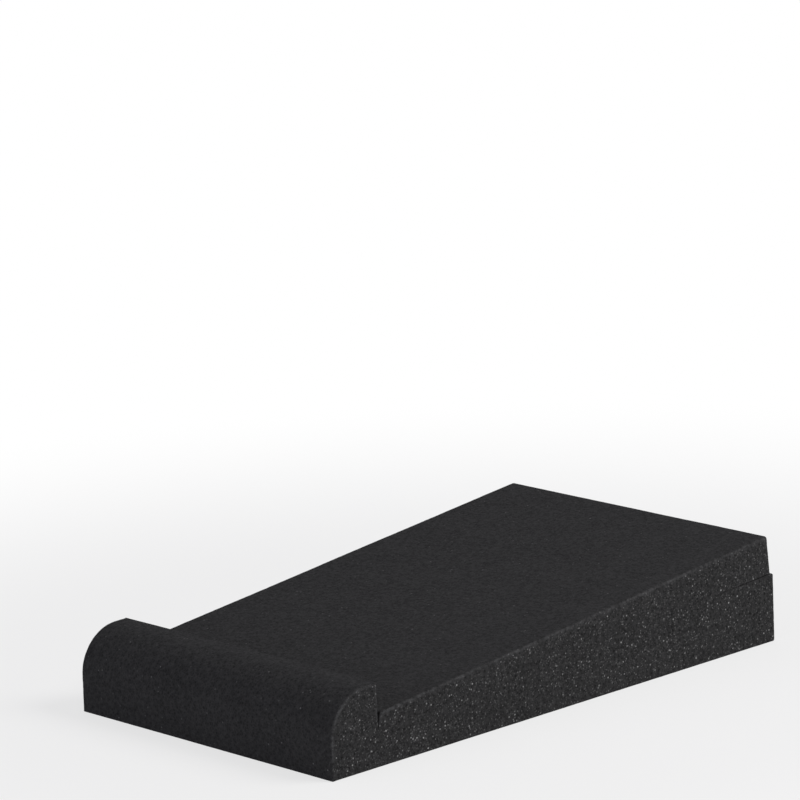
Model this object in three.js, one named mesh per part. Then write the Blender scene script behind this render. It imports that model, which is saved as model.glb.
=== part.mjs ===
// Loudspeaker isolation pad: two loose blocks of charcoal open-cell foam.
//
// The base wedge lies underneath. Its front carries a bull-nosed lip, a stop for whatever
// stands on the pad, and behind the lip its seat rises towards the rear. The tilt wedge lies
// on that seat, in the step behind the lip, and doubles the slope. Both blocks are
// contour-cut slabs: one side outline, pulled straight across the pad's width.
//
// Millimetres. X runs across the pad, Y from the lip to the rear and Z upwards.
// The origin is the middle of the underside.

import * as THREE from "three";

// Both blocks
const padWidth = 180;
const sideEdgeRadius = 0.5; // along the edges of the two cut sides
const cornerRadius = 0.9; // along the edges that run across the pad

// Base wedge
const baseLength = 300;
const seatFrontHeight = 18; // foam under the seat, at the foot of the lip
const seatRearHeight = 35; // foam under the seat, at the rear end
const noseRadius = 23; // the lip's round front, which starts level with the foot of the seat
const lipFlat = 7; // the level strip along the top of the lip, behind the nose

// Tilt wedge
const wedgeFrontHeight = 8;
const wedgeRearHeight = 20;
const lipGap = 0.6; // between the lip and the foot of the wedge's front end
const frontLean = 1.2; // how far that end leans back from its foot to its top
const rearSetback = 2.2; // how far the wedge stops short of the base's rear end
const seatClearance = 0.3; // between the wedge and the seat it lies on

// How far a flat facet may stand off the round that it follows
const arcTolerance = 0.015;
const sideEdgeSteps = 3;

const foamColour = 0x2f2f31;
const foamRoughness = 0.95;

/** Points along the arc that rounds a corner, tangent to the lines before and after it. */
function roundedCorner(corner, before, after, radius) {
  const arriving = corner.clone().sub(before).normalize();
  const leaving = after.clone().sub(corner).normalize();
  const turn = Math.atan2(arriving.cross(leaving), arriving.dot(leaving));
  const start = corner.clone().addScaledVector(arriving, -radius * Math.tan(Math.abs(turn) / 2));
  // The centre lies square to the arriving line, on the side that the outline turns to.
  const inwards = new THREE.Vector2(-arriving.y, arriving.x).multiplyScalar(Math.sign(turn));
  const centre = start.clone().addScaledVector(inwards, radius);
  const widestStep = 2 * Math.acos(1 - arcTolerance / radius);
  const steps = Math.ceil(Math.abs(turn) / widestStep);
  return Array.from({ length: steps + 1 }, (_, step) =>
    start.clone().rotateAround(centre, (turn * step) / steps)
  );
}

/** A closed outline through corners given as [y, z, radius], listed anticlockwise. */
function roundedOutline(corners) {
  const places = corners.map(([y, z]) => new THREE.Vector2(y, z));
  const points = corners.flatMap(([, , radius], index) => {
    const before = places.at(index - 1);
    const after = places[(index + 1) % places.length];
    return roundedCorner(places[index], before, after, radius);
  });
  return new THREE.Shape(points);
}

/** The outline pulled across the pad's full width, with the edges of its two sides rounded. */
function slab(outline) {
  const geometry = new THREE.ExtrudeGeometry(outline, {
    depth: padWidth - 2 * sideEdgeRadius,
    bevelThickness: sideEdgeRadius,
    bevelSize: sideEdgeRadius,
    bevelOffset: -sideEdgeRadius,
    bevelSegments: sideEdgeSteps,
  });
  geometry.translate(0, 0, sideEdgeRadius - padWidth / 2);
  // The outline was drawn as the side view, so its axes become Y and Z and the pull runs along X.
  const rearwards = new THREE.Vector3(0, 1, 0);
  const upwards = new THREE.Vector3(0, 0, 1);
  const across = new THREE.Vector3(1, 0, 0);
  return geometry.applyMatrix4(new THREE.Matrix4().makeBasis(rearwards, upwards, across));
}

function foamBlock(name, corners) {
  const foam = new THREE.MeshStandardMaterial({
    color: foamColour,
    roughness: foamRoughness,
    metalness: 0,
  });
  const block = new THREE.Mesh(slab(roundedOutline(corners)), foam);
  block.name = name;
  return block;
}

const lipDepth = noseRadius + lipFlat;
const lipHeight = seatFrontHeight + noseRadius;
const baseWedge = foamBlock("base_wedge", [
  [0, 0, cornerRadius],
  [baseLength, 0, cornerRadius],
  [baseLength, seatRearHeight, cornerRadius],
  [lipDepth, seatFrontHeight, cornerRadius],
  [lipDepth, lipHeight, cornerRadius],
  [0, lipHeight, noseRadius],
]);

// The tilt wedge is drawn in the seat's own frame: Y runs up the slope from the foot of the
// lip and Z stands square to it.
const seatRun = baseLength - lipDepth;
const seatRise = seatRearHeight - seatFrontHeight;
const wedgeLength = Math.hypot(seatRun, seatRise) - lipGap - rearSetback;
const tiltWedge = foamBlock("tilt_wedge", [
  [0, 0, cornerRadius],
  [wedgeLength, 0, cornerRadius],
  [wedgeLength, wedgeRearHeight, cornerRadius],
  [frontLean, wedgeFrontHeight, cornerRadius],
]);
tiltWedge.position.set(0, lipGap, seatClearance);

const seat = new THREE.Group();
seat.position.set(0, lipDepth, seatFrontHeight);
seat.rotation.x = Math.atan2(seatRise, seatRun);
seat.add(tiltWedge);

const pad = new THREE.Group();
pad.position.y = -baseLength / 2;
pad.add(baseWedge, seat);

const group = new THREE.Group();
group.add(pad);

export default group;
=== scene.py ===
"""Speaker isolation pad: two blocks of charcoal open-cell foam, one lying on the other.

The scene is in metres. X runs across the pad, Y from the lip to the rear and Z upwards.
The sizes below are in millimetres, apart from those of the floor and the lamps.
"""

import math

import bpy
import numpy as np
from mathutils import Matrix, Vector, geometry, noise

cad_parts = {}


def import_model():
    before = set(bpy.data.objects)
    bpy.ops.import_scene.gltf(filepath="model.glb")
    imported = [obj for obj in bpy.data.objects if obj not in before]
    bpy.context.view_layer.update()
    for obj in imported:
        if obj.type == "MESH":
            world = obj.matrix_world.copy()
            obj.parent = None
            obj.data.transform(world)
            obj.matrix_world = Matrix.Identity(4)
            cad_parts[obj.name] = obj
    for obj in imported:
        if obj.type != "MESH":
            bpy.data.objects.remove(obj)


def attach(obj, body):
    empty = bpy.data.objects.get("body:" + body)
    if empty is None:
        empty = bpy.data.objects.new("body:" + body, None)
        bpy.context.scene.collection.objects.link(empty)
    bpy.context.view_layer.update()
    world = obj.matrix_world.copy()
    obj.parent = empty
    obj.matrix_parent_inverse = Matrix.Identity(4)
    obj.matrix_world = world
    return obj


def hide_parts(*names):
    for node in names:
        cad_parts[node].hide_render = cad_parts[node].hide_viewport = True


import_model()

MM = 0.001

# Outlines of the two blocks, as in the solids
PAD_WIDTH = 180.0
BASE_LENGTH = 300.0
SEAT_FRONT_HEIGHT = 18.0
SEAT_REAR_HEIGHT = 35.0
NOSE_RADIUS = 23.0
LIP_FLAT = 7.0
WEDGE_FRONT_HEIGHT = 8.0
WEDGE_REAR_HEIGHT = 20.0
LIP_GAP = 0.6
FRONT_LEAN = 1.2
REAR_SETBACK = 2.2
SEAT_CLEARANCE = 0.3
LIP_DEPTH = NOSE_RADIUS + LIP_FLAT
LIP_HEIGHT = SEAT_FRONT_HEIGHT + NOSE_RADIUS
SEAT_RUN = BASE_LENGTH - LIP_DEPTH
SEAT_RISE = SEAT_REAR_HEIGHT - SEAT_FRONT_HEIGHT

# Radii of the edges that run across the pad
OPEN_EDGE_RADIUS = 0.9
WORN_EDGE_RADIUS = 1.6
CRISP_EDGE_RADIUS = 0.4

# Radii of the edges of the two side faces
SIDE_EDGE_RADIUS = 1.0
FOOT_EDGE_RADIUS = 0.5
CLOSED_SEAM_RADIUS = 0.04
OPEN_SEAM_RADIUS = 0.45
SIDE_EDGE_RINGS = 4
CORNER_SHARE = 0.8  # side edge radius at a tight corner, as a share of the corner's radius
SIDE_EDGE_GROWTH = 0.5  # how much that radius may grow with each millimetre from the corner

# How the wedge lies on the base
GAP_FOOT = 2.0  # height above the seat at which the gap behind the lip starts to open
PRESSED_GAP = 0.1  # below that height the wedge is pressed up against the lip
SETTLED_CLEARANCE = 0.03  # between the wedge and the seat, where the wedge beds down
BEDDED_SHARE = 0.82  # of the wedge's length; behind it the seam opens towards the rear
SEAM_BEND_RADIUS = 23.0  # of the slight bend in the wedge's underside where the seam opens

# Spacing of mesh points
FINE = 0.9
MEDIUM = 1.4
HIDDEN = 2.6
ACROSS = 2.0
SIDE_FACE = 0.85
SIDE_FACE_JITTER = 0.16  # as a share of the spacing
SIDE_FACE_MARGIN = 0.55  # clear of the rim, as a share of the spacing
FEWEST_ARC_STEPS = 4

# How far the cut faces stray from true
WAVE_LENGTH = 55.0
WAVE_HEIGHT = 0.14
WAVE_RISE = 6.0  # height above the floor at which the waves reach their full height
GRAIN_LENGTH = 3.2
GRAIN_DEPTH = 0.10
EDGE_NICK_LENGTH = 2.2
EDGE_NICK_DEPTH = 0.16
EDGE_NICK_SHIFT = (7, 3, 5)  # sets the nicks apart from the grain

EDGE_HIGHLIGHT_WIDTH = 0.8  # how far the painted highlight along the edges of the side faces reaches into them

SEED = 11

# What the triangulation of a side face is told
INSIDE_ONLY = 1
MERGE_DISTANCE = 1e-7

SHORTEST_SQUARED = 1e-12  # least squared length that a stretch of the outline is divided by


def rounded_corner(before, corner, after, radius):
    """Points on the arc that rounds a corner, and the angle that the outline turns by there."""
    arriving = (corner - before).normalized()
    leaving = (after - corner).normalized()
    across = arriving.x * leaving.y - arriving.y * leaving.x
    turn = math.atan2(across, arriving.dot(leaving))
    start = corner - arriving * radius * math.tan(abs(turn) / 2)
    inwards = Vector((-arriving.y, arriving.x)) * math.copysign(1, turn)
    centre = start + inwards * radius
    steps = max(FEWEST_ARC_STEPS, math.ceil(abs(turn) * radius / FINE)) if radius else 0
    swings = [Matrix.Rotation(angle, 2) for angle in np.linspace(0, turn, steps + 1)]
    return [centre + swing @ (start - centre) for swing in swings], turn


def rounded_outline(corners):
    """Points round a closed outline and the radius of the side edge at each of them.

    Each corner is (y, z, radius, spacing to the next corner, side edge radius there).
    """
    places = [Vector(corner[:2]) for corner in corners]
    arcs, tight = [], []
    for i, (_, _, radius, _, side_radius) in enumerate(corners):
        after = places[(i + 1) % len(places)]
        arc, turn = rounded_corner(places[i - 1], places[i], after, radius)
        arcs.append([(*point, side_radius) for point in arc])
        if turn > 0 and radius:
            tight.append((places[i], radius))
    points = []
    for arc, next_arc, (_, _, _, spacing, _) in zip(arcs, arcs[1:] + arcs[:1], corners):
        first, last = Vector(arc[-1]), Vector(next_arc[0])
        count = math.ceil((last - first).length / spacing)
        points += arc + [tuple(first.lerp(last, k / count)) for k in range(1, count)]
    points = np.array(points)
    # Next to a tight corner, the side edges are no rounder than the corner itself.
    for corner, radius in tight:
        reach = np.linalg.norm(points[:, :2] - corner, axis=1)
        limit = radius * CORNER_SHARE + np.maximum(0, reach - radius) * SIDE_EDGE_GROWTH
        points[:, 2] = np.minimum(points[:, 2], limit)
    return points[:, :2], points[:, 2]


def outward_normals(outline):
    along = np.roll(outline, -1, 0) - np.roll(outline, 1, 0)
    along /= np.linalg.norm(along, axis=1, keepdims=True)
    return np.stack([along[:, 1], -along[:, 0]], 1)


def points_inside(outline, spacing, margin, rng):
    """A jittered triangular grid of points inside an outline, clear of its edge."""
    low, high = outline.min(0), outline.max(0)
    rows = np.arange(low[1], high[1], spacing * math.sqrt(0.75))
    columns = np.arange(low[0], high[0], spacing)
    grid = np.array(
        [(x + (j % 2) * spacing / 2, y) for j, y in enumerate(rows) for x in columns]
    )
    grid += rng.uniform(-SIDE_FACE_JITTER, SIDE_FACE_JITTER, grid.shape) * spacing
    inside = np.zeros(len(grid), bool)
    distance = np.full(len(grid), np.inf)
    for a, b in zip(outline, np.roll(outline, -1, 0)):
        crosses = (a[1] > grid[:, 1]) != (b[1] > grid[:, 1])
        slope = (b[0] - a[0]) / (b[1] - a[1]) if a[1] != b[1] else 0
        inside ^= crosses & (grid[:, 0] < a[0] + (grid[:, 1] - a[1]) * slope)
        run = b - a
        t = np.clip((grid - a) @ run / max(run @ run, SHORTEST_SQUARED), 0, 1)
        distance = np.minimum(distance, np.linalg.norm(grid - a - t[:, None] * run, axis=1))
    return grid[inside & (distance > margin)]


def rings_across(outline, side_radii, edge_highlight):
    """Rings of the outline at stations across the pad, drawn in round the side edges.

    Gives the vertices of each ring and their shares, which slab describes.
    """
    half = PAD_WIDTH / 2
    widest = side_radii.max()
    normals = outward_normals(outline)
    loose = np.minimum(1, side_radii / FOOT_EDGE_RADIUS)
    none = np.zeros(len(outline))
    stations = np.linspace(-half + widest, half - widest, math.ceil(PAD_WIDTH / ACROSS) + 1)
    angles = [math.pi / 2 * k / SIDE_EDGE_RINGS for k in range(SIDE_EDGE_RINGS, 0, -1)]
    rings, shares = [], []

    def rounded_ring(side, angle):
        inset = side_radii * (1 - math.cos(angle))
        x = side * (half - side_radii * (1 - math.sin(angle)))
        rings.append(np.column_stack([x, outline - normals * inset[:, None]]))
        onto_side = none + math.sin(angle) ** 2
        shares.append(np.column_stack([onto_side, onto_side * edge_highlight, loose]))

    for angle in angles:
        rounded_ring(-1, angle)
    for x in stations:
        rings.append(np.column_stack([none + x, outline]))
        shares.append(np.column_stack([none, none, loose]))
    for angle in reversed(angles):
        rounded_ring(1, angle)
    return rings, shares


def side_face(rim, rim_edge_highlight, rng):
    """A flat mesh inside the rim of a side face.

    Gives its points, the first of the points given that each was made from, its triangles, and
    how strongly the painted edge highlight shows at each point inside the rim.
    """
    inner = points_inside(rim, SIDE_FACE, SIDE_FACE_MARGIN * SIDE_FACE, rng)
    offsets = np.linalg.norm(inner[:, None] - rim[None], axis=2)
    edge_highlight = rim_edge_highlight[offsets.argmin(1)] * np.exp(-offsets.min(1) / EDGE_HIGHLIGHT_WIDTH)
    given = [Vector(point) for point in np.concatenate([rim, inner])]
    loop = list(range(len(rim)))
    found = geometry.delaunay_2d_cdt(given, [], [loop], INSIDE_ONLY, MERGE_DISTANCE)
    points, triangles, sources = found[0], found[2], found[3]
    return points, [min(source) for source in sources], triangles, edge_highlight


def slab(outline, side_radii, rng):
    """A slab pulled along X, its side edges rounded.

    Gives vertices, faces, and three shares for each vertex: how far it belongs to a side face,
    how strong its painted edge highlight is, and how freely the foam's surface strays from
    true.
    """
    n = len(outline)
    # Painted edge highlight, strongest where the side edge is roundest
    edge_highlight = np.minimum(1, side_radii / SIDE_EDGE_RADIUS) ** 2
    rings, shares = rings_across(outline, side_radii, edge_highlight)
    faces = []
    for r in range(len(rings) - 1):
        for i in range(n):
            j = (i + 1) % n
            faces.append((r * n + i, r * n + j, (r + 1) * n + j, (r + 1) * n + i))
    vertices, shares = np.concatenate(rings), np.concatenate(shares)
    points, firsts, triangles, inner_edge_highlight = side_face(rings[-1][:, 1:], edge_highlight, rng)
    for side, ring in ((-1, 0), (1, len(rings) - 1)):
        index, extra = [], []
        for point, first in zip(points, firsts):
            if first < n:
                index.append(ring * n + first)
            else:
                index.append(len(vertices) + len(extra))
                x = side * PAD_WIDTH / 2
                extra.append((x, point.x, point.y, 1, inner_edge_highlight[first - n], 1))
        extra = np.array(extra)
        vertices = np.concatenate([vertices, extra[:, :3]])
        shares = np.concatenate([shares, extra[:, 3:]])
        for triangle in triangles:
            corners = [index[v] for v in triangle]
            faces.append(tuple(corners if side > 0 else reversed(corners)))
    return vertices, faces, shares


def mesh_object(name, vertices, faces, shares):
    mesh = bpy.data.meshes.new(name)
    mesh.from_pydata((vertices * MM).tolist(), [], faces)
    mesh.polygons.foreach_set("use_smooth", np.ones(len(faces), bool))
    for column, share in enumerate(("side_face", "edge_highlight")):
        attribute = mesh.attributes.new(share, "FLOAT", "POINT")
        attribute.data.foreach_set("value", shares[:, column].astype(np.float32))
    mesh.validate()
    mesh.update()
    piece = bpy.data.objects.new(name, mesh)
    bpy.context.scene.collection.objects.link(piece)
    return piece


def roughen(piece, shares):
    """Gentle waves that both blocks share, and a shallow grain cut into each one's surface."""
    mesh = piece.data
    count = len(mesh.vertices)
    places = np.zeros(count * 3)
    normals = np.zeros(count * 3)
    mesh.vertices.foreach_get("co", places)
    mesh.vertices.foreach_get("normal", normals)
    places, normals = places.reshape(-1, 3), normals.reshape(-1, 3)
    onto_side, _, loose = shares.T
    on_edge = 4 * onto_side * (1 - onto_side)  # 1 in the middle of a rounded side edge
    moved = np.empty_like(places)
    for i in range(count):
        here = Vector(places[i]) / MM
        wave = noise.noise_vector(here / WAVE_LENGTH) * WAVE_HEIGHT
        wave.z *= min(1.0, here.z / WAVE_RISE)
        grain = 0.5 + 0.5 * noise.noise(here / GRAIN_LENGTH)
        nick = max(0.0, noise.noise(here / EDGE_NICK_LENGTH + Vector(EDGE_NICK_SHIFT)))
        depth = GRAIN_DEPTH * grain + EDGE_NICK_DEPTH * nick * on_edge[i]
        moved[i] = here + wave - Vector(normals[i]) * depth * loose[i]
    moved[:, 2] = np.maximum(moved[:, 2], 0)
    mesh.vertices.foreach_set("co", (moved * MM).ravel())
    mesh.update()


def foam_block(name, node, corners, place, rng):
    outline, side_radii = rounded_outline(corners)
    vertices, faces, shares = slab(outline, side_radii, rng)
    vertices[:, 1:] = place(vertices[:, 1:])
    vertices[:, 1] -= BASE_LENGTH / 2
    piece = mesh_object(name, vertices, faces, shares)
    roughen(piece, shares)
    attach(piece, "root")
    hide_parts(node)
    return piece


def base_block(rng):
    seam_y = LIP_DEPTH + BEDDED_SHARE * SEAT_RUN
    seam_z = SEAT_FRONT_HEIGHT + BEDDED_SHARE * SEAT_RISE
    corners = [
        (0, 0, CRISP_EDGE_RADIUS, HIDDEN, FOOT_EDGE_RADIUS),
        (BASE_LENGTH, 0, OPEN_EDGE_RADIUS, FINE, FOOT_EDGE_RADIUS),
        (BASE_LENGTH, SEAT_REAR_HEIGHT, OPEN_EDGE_RADIUS, HIDDEN, OPEN_SEAM_RADIUS),
        (seam_y, seam_z, 0, HIDDEN, CLOSED_SEAM_RADIUS),
        (LIP_DEPTH, SEAT_FRONT_HEIGHT, CRISP_EDGE_RADIUS, FINE, CLOSED_SEAM_RADIUS),
        (LIP_DEPTH, SEAT_FRONT_HEIGHT + GAP_FOOT, 0, FINE, FOOT_EDGE_RADIUS),
        (LIP_DEPTH, LIP_HEIGHT, CRISP_EDGE_RADIUS, FINE, SIDE_EDGE_RADIUS),
        (0, LIP_HEIGHT, NOSE_RADIUS, FINE, SIDE_EDGE_RADIUS),
    ]
    return foam_block("base_foam", "base_wedge", corners, lambda outline: outline, rng)


def onto_seat(outline):
    """Turns an outline drawn level onto the sloping seat, clear of the lip and the seat."""
    slope = math.atan2(SEAT_RISE, SEAT_RUN)
    cos, sin = math.cos(slope), math.sin(slope)
    y, z = outline[:, 0] + LIP_GAP, outline[:, 1] + SEAT_CLEARANCE
    return np.column_stack(
        [LIP_DEPTH + y * cos - z * sin, SEAT_FRONT_HEIGHT + y * sin + z * cos]
    )


def tilt_block(rng):
    length = math.hypot(SEAT_RUN, SEAT_RISE) - LIP_GAP - REAR_SETBACK
    bedded = SETTLED_CLEARANCE - SEAT_CLEARANCE
    pressed = PRESSED_GAP - LIP_GAP
    corners = [
        (pressed, bedded, CRISP_EDGE_RADIUS, HIDDEN, CLOSED_SEAM_RADIUS),
        (BEDDED_SHARE * length, bedded, SEAM_BEND_RADIUS, HIDDEN, CLOSED_SEAM_RADIUS),
        (length, 0, CRISP_EDGE_RADIUS, FINE, OPEN_SEAM_RADIUS),
        (length, WEDGE_REAR_HEIGHT, WORN_EDGE_RADIUS, MEDIUM, SIDE_EDGE_RADIUS),
        (FRONT_LEAN, WEDGE_FRONT_HEIGHT, OPEN_EDGE_RADIUS, FINE, SIDE_EDGE_RADIUS),
        (pressed, GAP_FOOT, 0, FINE, FOOT_EDGE_RADIUS),
    ]
    return foam_block("tilt_foam", "tilt_wedge", corners, onto_seat, rng)


class Nodes:
    """Short calls for building the node tree of a material or of the world."""

    def __init__(self, owner):
        owner.use_nodes = True
        self.tree = owner.node_tree
        self.tree.nodes.clear()

    def add(self, kind, inputs=(), **settings):
        """A node with its settings; an input is a value or the socket that feeds it."""
        node = self.tree.nodes.new(kind)
        for key, value in settings.items():
            setattr(node, key, value)
        for key, value in dict(inputs).items():
            if isinstance(value, bpy.types.NodeSocket):
                self.tree.links.new(value, node.inputs[key])
            else:
                node.inputs[key].default_value = value
        return node

    def math(self, operation, *values):
        return self.add("ShaderNodeMath", enumerate(values), operation=operation).outputs[0]

    def ramp(self, value, low, high, to_low=0.0, to_high=1.0):
        inputs = {"Value": value, "From Min": low, "From Max": high}
        inputs.update({"To Min": to_low, "To Max": to_high})
        node = self.add("ShaderNodeMapRange", inputs, interpolation_type="SMOOTHSTEP")
        return node.outputs["Result"]

    def mix(self, factor, first, second):
        inputs = {0: factor, 6: first, 7: second}
        return self.add("ShaderNodeMix", inputs, data_type="RGBA").outputs[2]

    def background_ray(self):
        """1 for the rays that show the background, which are camera, glossy and see-through."""
        path = self.add("ShaderNodeLightPath").outputs
        seen = self.math("MAXIMUM", path["Is Camera Ray"], path["Is Glossy Ray"])
        return self.math("MAXIMUM", seen, path["Is Transmission Ray"])


# Sizes of the foam's features and of its painted highlights
CELL_SIZE = 1.55
GRAIN_SIZE = 2.3
SPECK_SIZE = 1.1
FINE_SPECK_SIZE = 0.95
CLUSTER_SIZE = 12.0
MOTTLE_SIZE = 18.0
EDGE_HIGHLIGHT_PATCH_SIZE = 7.0

# Linear colours of the foam and of the shade and highlights painted on it
# painted shade in the cell hollows, and the dark of the random grain and mottle
PIT_COLOUR = (0.0085, 0.0085, 0.0088, 1)
FOAM_COLOUR = (0.0505, 0.0503, 0.0510, 1)
# painted highlight along the rounded side edges
EDGE_HIGHLIGHT_COLOUR = (0.082, 0.082, 0.085, 1)
# painted glints: highlights of open cell windows and strut ends, painted as pale specks
GLINT_COLOUR = (0.48, 0.48, 0.48, 1)

# How strongly each layer shows, on the contour-cut faces and on the sawn side faces; the
# clusters and fine specks are painted glints
CELL_SHARES = (0.26, 0.34)
GRAIN_SHARES = (0.33, 0.42)
CLUSTER_SHARES = (0.3, 1.0)
FINE_SPECK_SHARES = (0.035, 0.20)

# How few of the painted glint specks are bright, on the same faces: the higher, the fewer
SPECK_RARITY = (90.0, 16.0)
FINE_SPECK_RARITY = (5.0, 2.6)

# Where in its noise or distance each layer sets in, and where it is full
CELL_FADE = (0.05, 0.30)
GRAIN_FADE = (0.32, 0.68)
MOTTLE_FADE = (0.3, 0.7)
SPECK_FADE = (0.55, 0.15)
CLUSTER_FADE = (0.36, 0.66)
EDGE_HIGHLIGHT_FADE = (0.35, 0.65)

# Lesser shares, on every face
MOTTLE_SHARE = 0.08
PATCHY_LEAST = 0.45  # what is left of the painted edge highlight and coarse painted glints between their patches
GRAINY_LEAST = 0.35  # what is left of the painted edge highlight in the dark of the grain
GLINT_ON_EDGE_HIGHLIGHT = 0.35  # what is left of the painted glints where the painted edge highlight lies
GRAIN_RELIEF = 0.5
RELIEF_STRENGTH = 0.7
RELIEF_DEPTH = 0.3
FOAM_ROUGHNESS = 0.95
FOAM_SPECULAR = 0.03


class FoamNodes(Nodes):
    """Nodes that know where on the foam they are."""

    def __init__(self, material):
        super().__init__(material)
        self.place = self.add("ShaderNodeTexCoord").outputs["Object"]
        self.side = self.add("ShaderNodeAttribute", attribute_name="side_face").outputs["Fac"]
        self.edge = self.add("ShaderNodeAttribute", attribute_name="edge_highlight").outputs["Fac"]

    def voronoi(self, size, feature):
        inputs = {"Vector": self.place, "Scale": 1 / (size * MM)}
        return self.add("ShaderNodeTexVoronoi", inputs, feature=feature).outputs

    def cloud(self, size, detail):
        inputs = {"Vector": self.place, "Scale": 1 / (size * MM), "Detail": detail}
        return self.add("ShaderNodeTexNoise", inputs).outputs["Fac"]

    def by_face(self, shares):
        return self.ramp(self.side, 0.0, 1.0, *shares)

    def specks(self, size, rarity):
        field = self.voronoi(size, "F1")
        chance = self.add("ShaderNodeTexWhiteNoise", {"Vector": field["Color"]})
        spot = self.ramp(field["Distance"], *SPECK_FADE)
        bright = self.math("POWER", chance.outputs["Value"], self.by_face(rarity))
        return self.math("MULTIPLY", bright, spot)


def edge_highlight_share(nodes, grain):
    """Painted highlight: a little paler along the edges of the side faces, in patches."""
    highlight_patches = nodes.ramp(nodes.cloud(EDGE_HIGHLIGHT_PATCH_SIZE, 2.0), *EDGE_HIGHLIGHT_FADE, PATCHY_LEAST, 1.0)
    in_grain = nodes.ramp(grain, 0.0, 1.0, 1.0, GRAINY_LEAST)
    highlight_patches = nodes.math("MULTIPLY", highlight_patches, in_grain)
    return nodes.math("MULTIPLY", nodes.edge, highlight_patches)


def glint_share(nodes):
    """Painted glints where strut ends and open cell windows catch the light, as pale specks,
    the coarse in clusters.
    """
    cluster = nodes.ramp(nodes.cloud(CLUSTER_SIZE, 2.0), *CLUSTER_FADE, PATCHY_LEAST, 1.0)
    cluster = nodes.math("MULTIPLY", cluster, nodes.by_face(CLUSTER_SHARES))
    coarse = nodes.math("MULTIPLY", nodes.specks(SPECK_SIZE, SPECK_RARITY), cluster)
    fine = nodes.specks(FINE_SPECK_SIZE, FINE_SPECK_RARITY)
    fine = nodes.math("MULTIPLY", fine, nodes.by_face(FINE_SPECK_SHARES))
    shown = nodes.ramp(nodes.edge, 0.0, 1.0, 1.0, GLINT_ON_EDGE_HIGHLIGHT)
    return nodes.math("MULTIPLY", nodes.math("ADD", coarse, fine), shown)


def foam_material():
    """Open cells with paler struts between them, their middles painted dark as shade.

    The sawn side faces stand open, while the contour-cut faces are closer and smoother.
    """
    material = bpy.data.materials.new("charcoal_foam")
    nodes = FoamNodes(material)
    # The cells' middles are painted darker as the shade in their hollows; grain and mottle vary
    # the tone at random.
    cell = nodes.ramp(nodes.voronoi(CELL_SIZE, "DISTANCE_TO_EDGE")["Distance"], *CELL_FADE)
    grain = nodes.ramp(nodes.cloud(GRAIN_SIZE, 4.0), *GRAIN_FADE)
    mottle = nodes.ramp(nodes.cloud(MOTTLE_SIZE, 3.0), *MOTTLE_FADE)
    cells = nodes.math("MULTIPLY", cell, nodes.by_face(CELL_SHARES))
    dark = nodes.math("MULTIPLY_ADD", grain, nodes.by_face(GRAIN_SHARES), cells)
    dark = nodes.math("MULTIPLY_ADD", mottle, MOTTLE_SHARE, dark)
    colour = nodes.mix(dark, FOAM_COLOUR, PIT_COLOUR)
    # Painted highlight along the rounded side edges
    colour = nodes.mix(edge_highlight_share(nodes, grain), colour, EDGE_HIGHLIGHT_COLOUR)
    # Painted glints, as pale specks
    colour = nodes.mix(glint_share(nodes), colour, GLINT_COLOUR)
    height = nodes.math("MULTIPLY_ADD", grain, GRAIN_RELIEF, cells)
    relief = {"Height": height, "Strength": RELIEF_STRENGTH, "Distance": RELIEF_DEPTH * MM}
    bump = nodes.add("ShaderNodeBump", relief, invert=True)
    surface = {
        "Base Color": colour,
        "Normal": bump.outputs["Normal"],
        "Roughness": FOAM_ROUGHNESS,
        "Specular IOR Level": FOAM_SPECULAR,
    }
    shader = nodes.add("ShaderNodeBsdfPrincipled", surface)
    nodes.add("ShaderNodeOutputMaterial", {"Surface": shader.outputs[0]})
    return material


# Floor, in metres
FLOOR_SIZE = 6.0
FLOOR_COLOUR = (0.82, 0.82, 0.82, 1)
FLOOR_ROUGHNESS = 0.9
WHITE = (1, 1, 1, 1)
SHADOW_SHOWN = 0.30  # how much of the floor's own shading the camera sees near the pad
SHADOW_REACH = (0.20, 0.60)  # distances from the pad's middle over which that fades to white


def floor():
    bpy.ops.mesh.primitive_plane_add(size=FLOOR_SIZE)
    plane = bpy.context.object
    plane.name = "floor"
    material = bpy.data.materials.new("floor")
    nodes = Nodes(material)
    paint = {"Base Color": FLOOR_COLOUR, "Roughness": FLOOR_ROUGHNESS}
    painted = nodes.add("ShaderNodeBsdfPrincipled", paint).outputs[0]
    white = nodes.add("ShaderNodeEmission", {"Color": WHITE, "Strength": 1.0}).outputs[0]
    place = nodes.add("ShaderNodeTexCoord").outputs["Object"]
    away = nodes.add("ShaderNodeVectorMath", {0: place}, operation="LENGTH").outputs["Value"]
    whiteness = nodes.ramp(away, *SHADOW_REACH, 1 - SHADOW_SHOWN, 1.0)
    factor = nodes.math("MULTIPLY", nodes.background_ray(), whiteness)
    mixed = nodes.add("ShaderNodeMixShader", {0: factor, 1: painted, 2: white})
    nodes.add("ShaderNodeOutputMaterial", {"Surface": mixed.outputs[0]})
    plane.data.materials.append(material)


WORLD_STRENGTH = 0.245
WORLD_COLOUR = (0.98, 0.97, 1.05, 1)


def world():
    """An even, faintly cool light, which the camera sees at full strength, nearly white."""
    surroundings = bpy.data.worlds.new("studio")
    bpy.context.scene.world = surroundings
    nodes = Nodes(surroundings)
    seen = nodes.background_ray()
    strength = nodes.math("MULTIPLY_ADD", seen, 1 - WORLD_STRENGTH, WORLD_STRENGTH)
    light = nodes.add("ShaderNodeBackground", {"Color": WORLD_COLOUR, "Strength": strength})
    nodes.add("ShaderNodeOutputWorld", {"Surface": light.outputs[0]})


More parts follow.
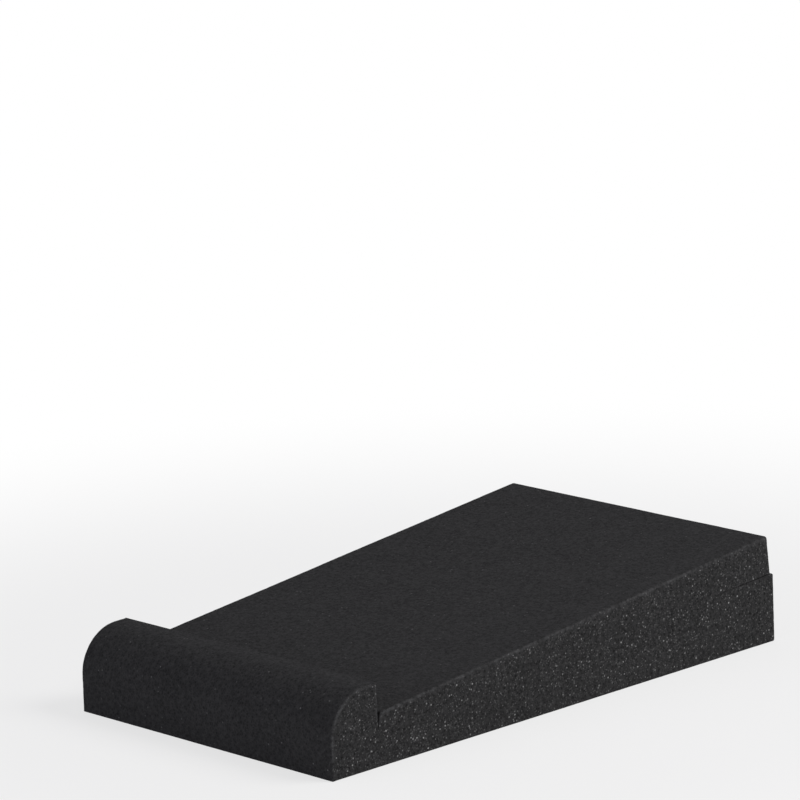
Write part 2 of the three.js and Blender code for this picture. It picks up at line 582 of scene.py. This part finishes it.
# Softboxes, in metres: (name, place, aimed at, size, watts, tint)
SOFTBOXES = [
    ("softbox_rear_right", (1.42, 0.98, 1.58), (0, 0, 0), 1.3, 30.0, (1.0, 0.99, 0.965)),
    ("softbox_front", (-0.3, -2.0, 0.5), (0, 0, 0), 1.6, 7.0, (0.97, 0.97, 1.06)),
]


def softbox(name, place, target, size, watts, tint):
    lamp = bpy.data.lights.new(name, "AREA")
    lamp.shape = "DISK"
    lamp.size = size
    lamp.energy = watts
    lamp.color = tint
    holder = bpy.data.objects.new(name, lamp)
    holder.location = place
    aim = Vector(target) - Vector(place)
    holder.rotation_mode = "QUATERNION"
    holder.rotation_quaternion = aim.to_track_quat("-Z", "Y")
    bpy.context.scene.collection.objects.link(holder)


# Camera, from the edges of the pad in the photograph: degrees and millimetres
VIEW_AZIMUTH = 47.41
VIEW_ELEVATION = 13.10
VIEW_ROLL = -2.55
VIEW_DISTANCE = 2428.2
LOOK_AT = (0.0, -14.6, 142.6)
LENS = 225.2
SENSOR = 36.0
FARTHEST_SEEN = 50000.0


def camera():
    azimuth, elevation = math.radians(VIEW_AZIMUTH), math.radians(VIEW_ELEVATION)
    outwards = Vector((math.sin(azimuth), -math.cos(azimuth), 0))
    back = outwards * math.cos(elevation) + Vector((0, 0, math.sin(elevation)))
    right = Vector((math.cos(azimuth), math.sin(azimuth), 0))
    level = Matrix((right, back.cross(right), back)).transposed()
    turned = level @ Matrix.Rotation(math.radians(VIEW_ROLL), 3, "Z")
    place = (Vector(LOOK_AT) + back * VIEW_DISTANCE) * MM
    lens = bpy.data.cameras.new("camera")
    lens.lens = LENS
    lens.sensor_width = SENSOR
    lens.clip_end = FARTHEST_SEEN * MM
    holder = bpy.data.objects.new("camera", lens)
    holder.matrix_world = Matrix.Translation(place) @ turned.to_4x4()
    bpy.context.scene.collection.objects.link(holder)
    bpy.context.scene.camera = holder


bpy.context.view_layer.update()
foam = foam_material()
generator = np.random.default_rng(SEED)
noise.seed_set(SEED)  # unseeded, noise_vector takes its offsets from the clock
for block in (base_block(generator), tilt_block(generator)):
    block.data.materials.append(foam)
floor()
world()
for box in SOFTBOXES:
    softbox(*box)
camera()
bpy.context.scene.view_settings.view_transform = "Standard"
